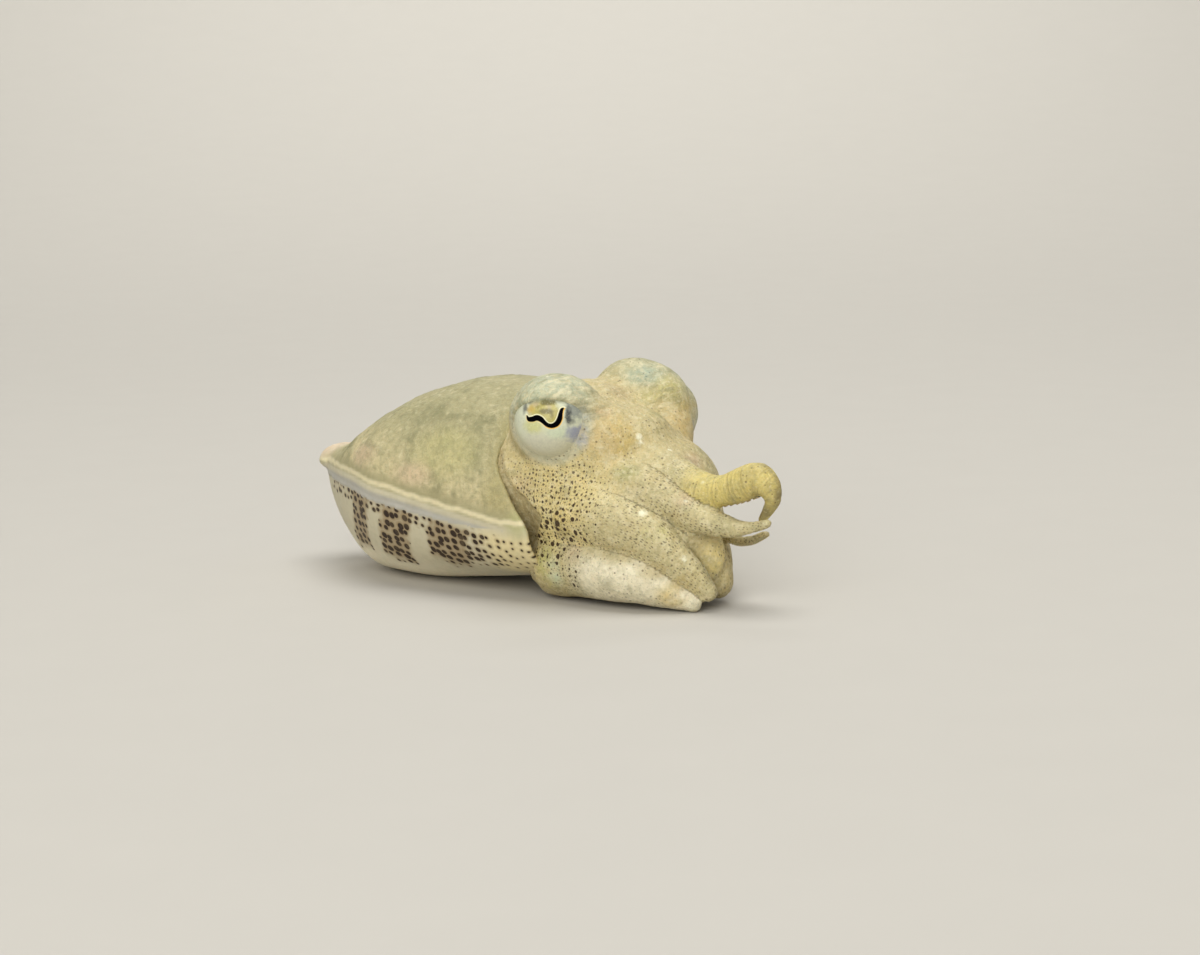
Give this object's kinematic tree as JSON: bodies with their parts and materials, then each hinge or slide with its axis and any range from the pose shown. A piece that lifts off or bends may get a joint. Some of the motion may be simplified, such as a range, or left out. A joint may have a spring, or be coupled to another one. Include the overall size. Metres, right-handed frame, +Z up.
{
  "type": "common cuttlefish model",
  "caption": "Life-size museum model of a young common cuttlefish resting on its belly and lower arms, one upper arm raised and curled, eyes high on the head.",
  "frame": {"origin": "on the floor, under the middle of the animal's bounding box", "axes": "+X towards the head and arms, along the body; +Y to the animal's left; +Z up"},
  "size_m": [0.0446, 0.017, 0.0161],
  "materials": {
    "mantle_skin": "moist khaki skin, pale belly with dark brown spots in bars",
    "fin_skin": "thin translucent grey-blue skin",
    "head_skin": "moist beige skin with fine dark spots",
    "eye": "clear wet cornea over a golden iris with a W-shaped black pupil",
    "funnel_skin": "pale moist skin",
    "arm_skin": "moist khaki to golden skin with fine streaky speckles"
  },
  "bodies": {
    "root": {"mantle": "mantle_skin", "fin_right": "fin_skin", "fin_left": "fin_skin", "head": "head_skin", "eye_right": "eye", "eye_left": "eye", "funnel": "funnel_skin", "arm_right_1_base": "arm_skin", "arm_right_1_middle": "arm_skin", "arm_right_1_tip": "arm_skin", "arm_right_2_base": "arm_skin", "arm_right_2_tip": "arm_skin", "arm_right_3_base": "arm_skin", "arm_right_3_tip": "arm_skin", "arm_right_4_base": "arm_skin", "arm_right_4_tip": "arm_skin", "arm_left_1_base": "arm_skin", "arm_left_1_tip": "arm_skin", "arm_left_2_base": "arm_skin", "arm_left_2_tip": "arm_skin", "arm_left_3_base": "arm_skin", "arm_left_3_tip": "arm_skin", "arm_left_4_base": "arm_skin", "arm_left_4_tip": "arm_skin"}
  },
  "joints": []
}
